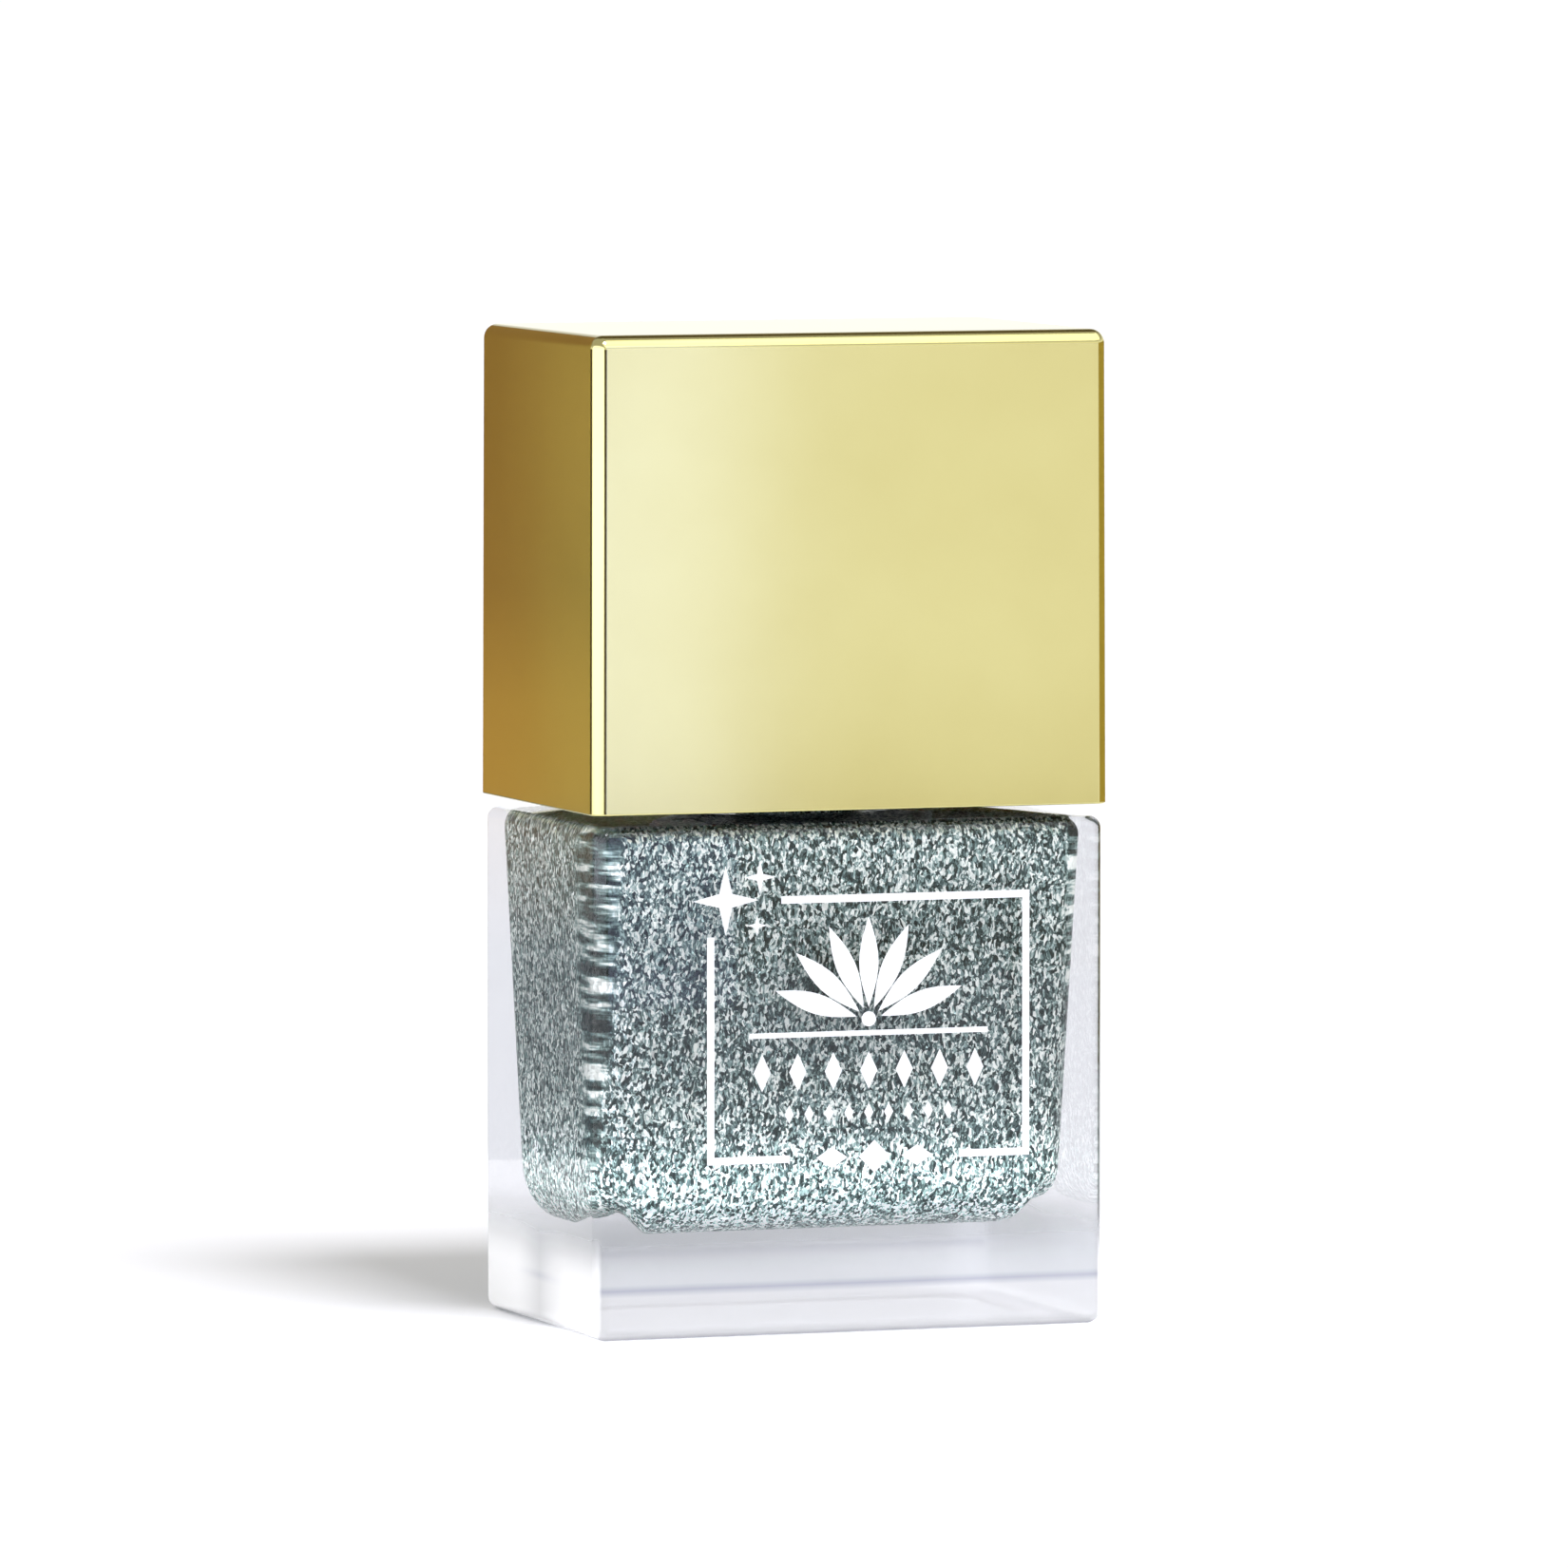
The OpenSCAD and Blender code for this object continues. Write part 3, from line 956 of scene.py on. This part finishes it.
    def slice_foot(self, obj: Piece) -> None:
        """Adds edges across the low faces, for the notches to bend along.

        Args:
            obj: A lofted piece with the hollow's wall.
        """
        mesh = bmesh.new()
        mesh.from_mesh(obj.data)
        first, spacing, count = self.cuts_x
        places = [(Vector((1, 0, 0)), side * (first + spacing * k)) for k in range(count) for side in (-1, 1)]
        first, spacing, count = self.cuts_y
        places += [(Vector((0, 1, 0)), first + spacing * k) for k in range(count)]
        top = self.sliced * MM
        for axis, place in places:
            geometry = [face for face in mesh.faces if max(vert.co.z for vert in face.verts) < top]
            geometry += [edge for edge in mesh.edges if edge.verts[0].co.z < top]
            geometry += [vert for vert in mesh.verts if vert.co.z < top]
            bmesh.ops.bisect_plane(mesh, geom=geometry, plane_co=axis * place * MM, plane_no=axis, dist=1e-7)
        mesh.to_mesh(obj.data)
        mesh.free()

    def make_glass(self) -> None:
        """Draws the flask as one wall: base, body, neck, lip, bore and hollow."""
        rings = self.base_rings() + self.body_rings() + self.neck_rings() + self.hollow().rings()[::-1]
        glass = loft("glass_flask_body", rings)
        thread = Thread(self.shoulder + self.thread_z)

        def shape(point: Vector) -> Vector:
            """Lifts the corners of the hollow, and swells the neck's outside along the helix."""
            if self.floor - 0.1 < point.z < self.shoulder - self.neck_clear and self.is_inside(point):
                return self.lift_foot(point)
            radius = math.hypot(point.x, point.y)
            if point.z < self.shoulder + self.neck_clear or radius < self.neck_r - 0.01:
                return point
            grow = (radius + thread.swell(point)) / radius
            return Vector((point.x * grow, point.y * grow, point.z))

        self.slice_foot(glass)
        move_points(glass, shape)
        finish_surface(glass, 50)
        hand_over(glass, "bottle", "glass_flask", GLASS)
        # clear glass lets the light through to the board
        glass.visible_shadow = False

    def make_polish(self) -> None:
        """Draws the polish: it wets the glass, rises into the neck and leaves the brush its well."""
        ceiling = self.hollow().ceiling + self.wet
        bore, skin, foot = self.bore_r + self.wet, self.fill - self.meniscus, self.well_foot_r
        places = [(bore + self.bore_fillet * c, ceiling + self.bore_fillet * s) for s, c in quarter(5)]
        places += [(bore - self.meniscus * (1 - c), skin + self.meniscus * s) for s, c in quarter(5)]
        places += [(self.well_r + self.well_edge, skin), (self.well_r, skin - self.well_edge)]
        places += [(self.well_r - foot * (1 - c), self.well_floor + foot * (1 - s)) for s, c in quarter(4)]
        polish = loft("polish_fill", self.hollow().rings(self.wet) + circles(*places))
        self.slice_foot(polish)
        move_points(polish, self.lift_foot)
        finish_surface(polish, 50)
        hand_over(polish, "bottle", "polish", POLISH)

    def make_balls(self) -> None:
        """Draws the two ground mixing balls."""
        for side in ("left", "right"):
            box = NodeBox.of(f"mixing_ball_{side}")
            ball = primitive(
                "ico_sphere", f"mixing_ball_{side}_ground", subdivisions=5,
                radius=box.size.z / 2 * MM, location=box.middle * MM,
            )
            finish_surface(ball, 60, weighted=False)
            hand_over(ball, "bottle", f"mixing_ball_{side}", STEEL)

    def build(self) -> None:
        """Makes every piece of the flask."""
        self.make_glass()
        self.make_polish()
        self.make_balls()
        dress(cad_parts["front_print"], INK)


# ---------------------------------------------------------------- the overcap


@dataclass
class Overcap:
    """The metallised shell and the sleeve inside it, in millimetres."""

    shell_box: NodeBox
    insert_box: NodeBox
    wall: float = 1.2
    edge_r: float = 0.95
    rim_r: float = 0.12
    draft: float = 0.1
    sleeve_in: float = 8.52
    sleeve_wall: float = 0.9
    sleeve_top: float = 50.3
    roof_in: float = 4.0
    web: float = 1.0
    web_lift: float = 1.5

    def make_shell(self) -> None:
        """Shapes the shell from a block: lean, rounded edges, then a wall of even thickness."""
        box = self.shell_box
        shell = primitive("cube", "overcap_gold_shell", size=1.0, location=box.middle * MM, scale=box.size * MM)
        top, base = box.high.z * MM, box.low.z * MM
        with editing(shell):
            pick(shell, Element.FACE, lambda face: face.normal.z > 0.9)
            lean = [1 - 2 * self.draft / box.size.x, 1 - 2 * self.draft / box.size.y, 1.0]
            bpy.ops.transform.resize(value=lean, center_override=(0, 0, top))
            pick(shell, Element.FACE, lambda face: face.normal.z < -0.9)
            bpy.ops.mesh.delete(type="ONLY_FACE")
            pick(shell, Element.EDGE, lambda edge: max(v.co.z for v in edge.verts) > base + MM)
            bevel(self.edge_r, 8)
        modify(shell, "SOLIDIFY", thickness=self.wall * MM, offset=-1, use_even_offset=True, use_rim=True)

        def on_rim(edge: bmesh.types.BMEdge) -> bool:
            """Whether an edge is a sharp one of the lower rim."""
            low = all(abs(v.co.z - base) < 0.01 * MM for v in edge.verts)
            return low and edge.calc_face_angle(0) > 0.8

        with editing(shell):
            pick(shell, Element.EDGE, on_rim)
            bevel(self.rim_r, 3)
        finish_surface(shell, 35)
        hand_over(shell, "overcap", "overcap_shell", GOLD)

    def make_insert(self) -> None:
        """Builds the sleeve with its lead-in and the four webs that brace it in the shell."""
        size, base, top = self.insert_box.size, self.insert_box.low.z, self.insert_box.high.z
        inner, outer, roof = self.sleeve_in, self.sleeve_in + self.sleeve_wall, self.sleeve_top
        insert = loft("overcap_sleeve", circles(
            (self.roof_in, roof - 1.0), (inner - 0.5, roof - 1.0), (inner - 0.15, roof - 1.15), (inner, roof - 1.5),
            (inner, base + 0.6), (inner + 0.3, base + 0.05), (inner + 0.4, base), (outer - 0.15, base),
            (outer, base + 0.15), (outer, roof - 0.4), (outer - 0.12, roof - 0.12), (outer - 0.4, roof),
            (self.roof_in, roof),
        ))
        low = base + self.web_lift
        for name, width, depth in (("x", size.x, self.web), ("y", self.web, size.y)):
            web = primitive(
                "cube", f"web_{name}", size=1.0, location=(0, 0, (low + top) / 2 * MM),
                scale=(width * MM, depth * MM, (top - low) * MM),
            )
            with editing(web):
                pick(web, Element.EDGE, lambda edge: True)
                bevel(0.12, 2)
            bore = primitive(
                "cylinder", "bore", vertices=96, radius=(inner + 0.2) * MM,
                depth=(roof - 0.5 - base) * MM, location=(0, 0, (roof - 0.5 + base) / 2 * MM),
            )
            cut(web, bore, "DIFFERENCE")
            cut(insert, web, "UNION")
        finish_surface(insert, 35)
        hand_over(insert, "overcap", "overcap_insert", NATURAL_PP)

    def build(self) -> None:
        """Makes both pieces of the overcap."""
        self.make_shell()
        self.make_insert()


# ---------------------------------------------------------------- the closure and its brush


@dataclass
class Closure:
    """The ribbed screw closure with the brush that hangs from it, in millimetres."""

    box: NodeBox
    rim_z: float
    skirt_r: float = 8.1
    skirt_in: float = 7.1
    hem_r: float = 0.2
    crown_r: float = 0.7
    rib_h: float = 0.25
    ribs: int = 40
    seat_in: float = 6.65
    roof_h: float = 1.98
    socket_r: float = 1.96
    socket_h: float = 0.65
    thread_z: float = 4.6
    stem_socket: float = 3.9
    bristles: int = 340
    bristle_r: float = 0.055
    tuft_mouth: float = 1.1
    tuft_round: float = 3.4

    def outside(self, point: Vector) -> Vector:
        """Raises the grip ribs on the outer wall.

        Args:
            point: A point of the closure.

        Returns:
            Its new place.
        """
        radius = math.hypot(point.x, point.y)
        low, high = self.box.low.z + 0.9, self.box.high.z - 1.0
        if radius < self.skirt_r - 0.05:
            return point
        ends = smooth((point.z - low) / 0.7) * smooth((high - point.z) / 0.7)
        wave = math.cos(self.ribs * math.atan2(point.y, point.x))
        grow = (radius + self.rib_h * smooth(0.5 + 0.9 * wave) * ends) / radius
        return Vector((point.x * grow, point.y * grow, point.z))

    def make_closure(self) -> None:
        """Draws the closure as one wall: inside, skirt edge, ribbed outside and top."""
        base, top = self.box.low.z, self.box.high.z
        seat, roof = self.rim_z - 0.3, self.rim_z + self.roof_h
        inner, outer, hem, crown = self.skirt_in, self.skirt_r, self.hem_r, self.crown_r
        places = [(1.0, roof + self.socket_h), (self.socket_r, roof + self.socket_h), (self.socket_r, roof)]
        places += [(self.seat_in, roof), (self.seat_in, seat), (inner, seat - 0.05)]
        places += [(inner, z) for z in steps(seat - 0.2, base + 0.3, 60)]
        places += [(inner + 0.1, base + 0.05), (inner + 0.2, base)]
        places += [(outer - hem + hem * s, base + hem * (1 - c)) for s, c in quarter(3)]
        places += [(outer, z) for z in steps(base + hem, top - crown, 26)[1:]]
        places += [(outer - crown * (1 - c), top - crown + crown * s) for s, c in quarter(6)[1:]]
        # shallow dish and gate mark in the top
        places += [(6.6, top), (6.3, top - 0.18), (1.1, top - 0.2), (0.9, top - 0.12), (0.5, top - 0.1)]
        closure = loft("screw_closure_ribbed", circles(*places), count=240)
        thread = Thread(base + self.thread_z, height=0.58, width=1.4)

        def shape(point: Vector) -> Vector:
            """Raises the ribs outside and the thread inside."""
            radius = math.hypot(point.x, point.y)
            if abs(radius - inner) >= 0.02:
                return self.outside(point)
            shrink = (radius - thread.swell(point)) / radius
            return Vector((point.x * shrink, point.y * shrink, point.z))

        move_points(closure, shape)
        finish_surface(closure, 50)
        hand_over(closure, "closure", "screw_closure", BLACK_PP)

    def make_stem(self, box: NodeBox) -> None:
        """Spins the stem's profile: plug, flange, tapered shaft, tuft socket.

        Args:
            box: Where the stem is.
        """
        low, top, flange_r = box.low.z, box.high.z, box.size.x / 2
        flange, floor = top - 1.5, low + self.stem_socket
        profile = [
            (0.0, floor), (1.2, floor), (1.2, low + 0.12), (1.28, low), (1.42, low),
            (1.6, low + 0.08), (1.68, low + 0.3), (1.7, low + 0.6), (1.7, low + 4.5), (1.66, low + 4.8),
            (1.58, low + 5.0), (1.66, low + 9.0), (1.78, flange - 0.9), (1.85, flange - 0.35), (2.1, flange - 0.03),
            (flange_r - 0.12, flange), (flange_r, flange + 0.12), (flange_r, flange + 0.83),
            (flange_r - 0.12, flange + 0.95), (1.9, flange + 0.95), (1.9, top - 0.1), (1.8, top), (0.0, top),
        ]
        stem = primitive("circle", "brush_stem_moulded", vertices=len(profile), radius=MM)
        with editing(stem):
            mesh = bmesh.from_edit_mesh(stem.data)
            for vert, (radius, z) in zip(mesh.verts, profile):
                vert.co = Vector((radius, 0, z)) * MM
            bmesh.update_edit_mesh(stem.data)
            # the edge along the axis is not part of the profile
            pick(stem, Element.EDGE, lambda edge: all(v.co.x < 1e-7 for v in edge.verts))
            bpy.ops.mesh.delete(type="EDGE")
            bpy.ops.mesh.select_all(action="SELECT")
            bpy.ops.mesh.spin(steps=64, angle=2 * math.pi, center=(0, 0, 0), axis=(0, 0, 1))
            bpy.ops.mesh.select_all(action="SELECT")
            bpy.ops.mesh.remove_doubles(threshold=0.002 * MM)
        finish_surface(stem, 45)
        hand_over(stem, "closure", "brush_stem", STEM_PE)

    def make_bristles(self, box: NodeBox) -> None:
        """Sets the tuft: one tapered filament, copied and bent to its own place.

        Args:
            box: Where the tuft is.
        """
        root, belly = box.high.z - 0.1, box.size.x / 2 - 0.06
        golden_angle = 2.399963
        rng = random.Random(11)
        master = primitive(
            "cylinder", "filament", vertices=5, radius=self.bristle_r * MM, depth=MM, location=(0, 0, 0.5 * MM)
        )
        with editing(master):
            pick(master, Element.EDGE, lambda edge: abs(edge.verts[0].co.z - edge.verts[1].co.z) > 0.5 * MM)
            bpy.ops.mesh.subdivide(number_cuts=4)
        filaments = []
        for k in range(self.bristles):
            spread = math.sqrt((k + 0.5) / self.bristles)
            lean = rng.uniform(-0.12, 0.12)
            dome = 1 - math.sqrt(max(0.0, 1 - (spread * 0.97) ** 2))
            end = box.low.z + dome * self.tuft_round + rng.uniform(0, 0.35)
            copy = master.copy()
            copy.data = master.data.copy()
            bpy.context.collection.objects.link(copy)
            for vert in copy.data.vertices:
                t = vert.co.z / MM
                fan = lerp(self.tuft_mouth * 0.95, belly, smooth((t - 0.2) / 0.55)) - 0.25 * smooth((t - 0.8) / 0.2)
                thin = 1.0 if t < 0.8 else lerp(1.0, 0.45, (t - 0.8) / 0.2)
                angle = k * golden_angle + lean * smooth(t)
                x = spread * fan * math.cos(angle) + vert.co.x / MM * thin
                y = spread * fan * math.sin(angle) + vert.co.y / MM * thin
                vert.co = Vector((x, y, lerp(root, end, t))) * MM
            filaments.append(copy)
        bpy.data.objects.remove(master, do_unlink=True)
        tuft = join(filaments, "brush_tuft")
        with editing(tuft, "SELECT"):
            bpy.ops.mesh.normals_make_consistent(inside=False)
        take(tuft)
        bpy.ops.object.shade_smooth_by_angle(angle=math.radians(80))
        hand_over(tuft, "closure", "brush_bristles", NYLON)

    def build(self) -> None:
        """Makes every piece of the closure."""
        self.make_closure()
        self.make_stem(NodeBox.of("brush_stem"))
        self.make_bristles(NodeBox.of("brush_bristles"))
        dress(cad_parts["bristle_anchor"], BRASS)
        dress(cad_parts["sealing_liner"], FOAM)


# ---------------------------------------------------------------- the studio


class Reach(Enum):
    """What a lamp lights."""

    ALL = 0
    GLOSSY = 1
    MATT = 2


@dataclass
class Studio:
    """Floor, lights and camera, in metres and degrees."""

    centre: Vector
    azimuth: float = -19.65
    elevation: float = 4.19
    distance: float = 0.955
    lens: float = 327.6
    sensor: float = 36.0
    aim_left_mm: float = 0.57
    aim_up_mm: float = 2.54
    floor_size: float = 40.0
    wall_light: float = 1.15
    ceiling_light: float = 0.55

    def direction(self, azimuth: float, elevation: float) -> Vector:
        """Unit vector from the bottle towards a place round it; 0 is in front, 90 to its right."""
        a, e = math.radians(azimuth), math.radians(elevation)
        return Vector((math.sin(a) * math.cos(e), -math.cos(a) * math.cos(e), math.sin(e)))

    def aside(self, azimuth: float) -> Vector:
        """Level unit vector to the right, as seen from a place round the bottle."""
        return Vector((math.cos(math.radians(azimuth)), math.sin(math.radians(azimuth)), 0))

    def make_floor(self) -> None:
        """Lays a wide level board under the bottle."""
        floor = primitive("plane", "studio_floor", size=self.floor_size)
        with editing(floor, "SELECT"):
            bpy.ops.mesh.subdivide(number_cuts=3)
        dress(floor, SWEEP)

    def hang(self, kind: str, name: str, centre: Vector, place: Vector, power: float, colour: str) -> Piece:
        """Hangs a lamp that faces a point.

        Args:
            kind: The lamp's type.
            name: Its name.
            centre: The point.
            place: Where the lamp hangs.
            power: Its power in watts, or a sun's irradiance in watts per square metre.
            colour: sRGB hex code of its light.

        Returns:
            The lamp.
        """
        deselect_all()
        bpy.ops.object.light_add(type=kind, location=place)
        lamp = bpy.context.active_object
        lamp.name = name
        lamp.rotation_euler = (centre - place).to_track_quat("-Z", "Y").to_euler()
        lamp.data.energy = power
        lamp.data.color = srgb(colour)[:3]
        return lamp

    def add_softbox(self, name: str, azimuth: float, elevation: float, reach: float, size: tuple[float, float],
                    power: float, colour: str, lights: Reach) -> None:
        """Hangs a rectangular softbox that faces the bottle.

        Args:
            name: Name of the lamp.
            azimuth: Where it hangs round the bottle.
            elevation: How high it hangs.
            reach: Its distance from the bottle.
            size: Its width and height.
            power: Its power in watts.
            colour: sRGB hex code of its light.
            lights: Whether it lights everything, only what is glossy or only what is matt.
        """
        place = self.centre + self.direction(azimuth, elevation) * reach
        lamp = self.hang("AREA", name, self.centre, place, power, colour)
        lamp.data.shape = "RECTANGLE"
        lamp.data.size, lamp.data.size_y = size
        lamp.visible_camera = False
        lamp.visible_diffuse = lights is not Reach.GLOSSY
        lamp.visible_glossy = lights is not Reach.MATT

    def make_lights(self) -> None:
        """Hangs the window light, which casts the bottle's shadow, and the softboxes."""
        window = self.hang("SUN", "window_light", Vector(), self.direction(9, 57), 2.4, "#F8F8FF")
        window.data.angle = math.radians(16)
        self.add_softbox("front_softbox", 12, 4, 0.26, (0.045, 0.30), 0.044, "#8CA0FF", Reach.ALL)
        self.add_softbox("edge_softbox", -58, 4, 0.45, (1.0, 0.5), 2.6, "#E0E6FF", Reach.GLOSSY)
        self.add_softbox("top_softbox", 38, 48, 0.5, (0.7, 0.45), 1.4, "#FFFFFF", Reach.GLOSSY)
        self.add_softbox("left_fill", -95, 8, 0.5, (0.6, 0.4), 0.57, "#FFFFFF", Reach.MATT)

    def make_card(self, name: str, azimuth: float, reach: float, width: float, tones: Tones,
                  slide: float = 0.0) -> None:
        """Stands an upright toned card that shows only in reflections.

        Args:
            name: Name of the card.
            azimuth: Where it stands round the bottle.
            reach: Its distance from the bottle.
            width: Its width.
            tones: Heights from its lower to its upper edge, each with its sRGB hex code.
            slide: How far it is moved sideways.
        """
        low, high = tones[0][0], tones[-1][0]
        place = self.direction(azimuth, 0.0) * reach
        card = primitive("plane", name, size=1.0)
        with editing(card, "SELECT"):
            bpy.ops.transform.resize(value=(width, high - low, 1.0), center_override=(0, 0, 0))
        card.rotation_euler = (-place).to_track_quat("Z", "Y").to_euler()
        card.location = place + self.aside(azimuth) * slide + Vector((0, 0, (low + high) / 2))
        take(card)
        bpy.ops.object.transform_apply(location=True, rotation=True, scale=True)
        dress(card, TonedBoard(f"board_{name}", roughness=0.9, tones=tones))
        for ray in ("camera", "transmission", "diffuse", "shadow"):
            setattr(card, f"visible_{ray}", False)

    def make_cards(self) -> None:
        """Stands the cards round the bottle."""
        # the left side mirrors what stands behind it: a brown board and an olive one, grey at the foot
        foot = ((0.0, "#59636A"), (0.018, "#646E72"))
        olive = ((0.029, "#AE9656"), (0.036, "#AC9554"), (0.044, "#98864C"), (0.057, "#A48E50"), (0.13, "#8A7A48"))
        brown = ((0.029, "#B08B49"), (0.036, "#AA8544"), (0.044, "#906D36"), (0.057, "#87662E"), (0.13, "#80622E"))
        self.make_card("left_card_olive", -160, 0.12, 0.06, foot + olive, slide=0.045)
        self.make_card("left_card_brown", -160, 0.12, 0.06, foot + brown, slide=-0.015)
        self.make_card("left_dark_card", -121, 0.3, 0.12, ((0.0, "#3A2A08"), (0.08, "#36270A")))
        self.make_card("front_dark_card", 2, 0.3, 0.11, ((0.0, "#4A3A10"), (0.08, "#443610")))
        self.make_card("front_low_card", 26, 0.3, 0.16, ((0.0, "#D8CFB0"), (0.015, "#DCD3B6")))
        self.make_card("right_card", 104, 0.2, 0.48, ((0.0, "#B8A24C"), (0.08, "#B49E4A")))
        self.make_card("over_dark_card", 160, 0.3, 0.5, ((0.28, "#4A3A10"), (1.2, "#443610")))

    def make_world(self) -> None:
        """Fills the room with white light, brighter from the walls than from the ceiling."""
        world = bpy.data.worlds.new("studio_air")
        bpy.context.scene.world = world
        world.use_nodes = True
        add = partial(add_node, world.node_tree)
        height = add("SeparateXYZ", {"Vector": add("TexCoord", {}, "Generated")}, "Z")
        strength = add(
            "MapRange",
            {
                "Value": height, "From Min": 0.10, "From Max": 0.35,
                "To Min": self.wall_light, "To Max": self.ceiling_light,
            },
            interpolation_type="SMOOTHSTEP",
        )
        feed(world.node_tree.nodes["Background"], {"Color": srgb("#FFFFFF"), "Strength": strength})

    def make_camera(self) -> None:
        """Sets the camera on the bottle's left front, a little above it."""
        back, right = self.direction(self.azimuth, self.elevation), self.aside(self.azimuth)
        place = self.centre + back * self.distance
        aim = self.centre - right * self.aim_left_mm * MM + back.cross(right) * self.aim_up_mm * MM
        deselect_all()
        bpy.ops.object.camera_add(location=place)
        camera = bpy.context.active_object
        camera.name = "studio_camera"
        camera.rotation_euler = (aim - place).to_track_quat("-Z", "Y").to_euler()
        camera.data.sensor_width = self.sensor
        camera.data.lens = self.lens
        camera.data.clip_end = 50.0
        bpy.context.scene.camera = camera

    def build(self) -> None:
        """Sets up the whole studio."""
        self.make_camera()
        self.make_floor()
        self.make_world()
        self.make_lights()
        self.make_cards()
        bpy.context.scene.view_settings.view_transform = "Standard"


def main() -> None:
    """Builds the bottle and its studio."""
    logging.basicConfig(level=logging.INFO, format="%(name)s: %(message)s", force=True)
    flask_box = NodeBox.of("glass_flask")
    Flask(flask_box).build()
    Overcap(NodeBox.of("overcap_shell"), NodeBox.of("overcap_insert")).build()
    Closure(NodeBox.of("screw_closure"), rim_z=flask_box.high.z).build()
    low, high = (Vector(corner) for corner in CAD_BOUNDS)
    Studio((low + high) / 2).build()


if __name__ == "__main__":
    main()
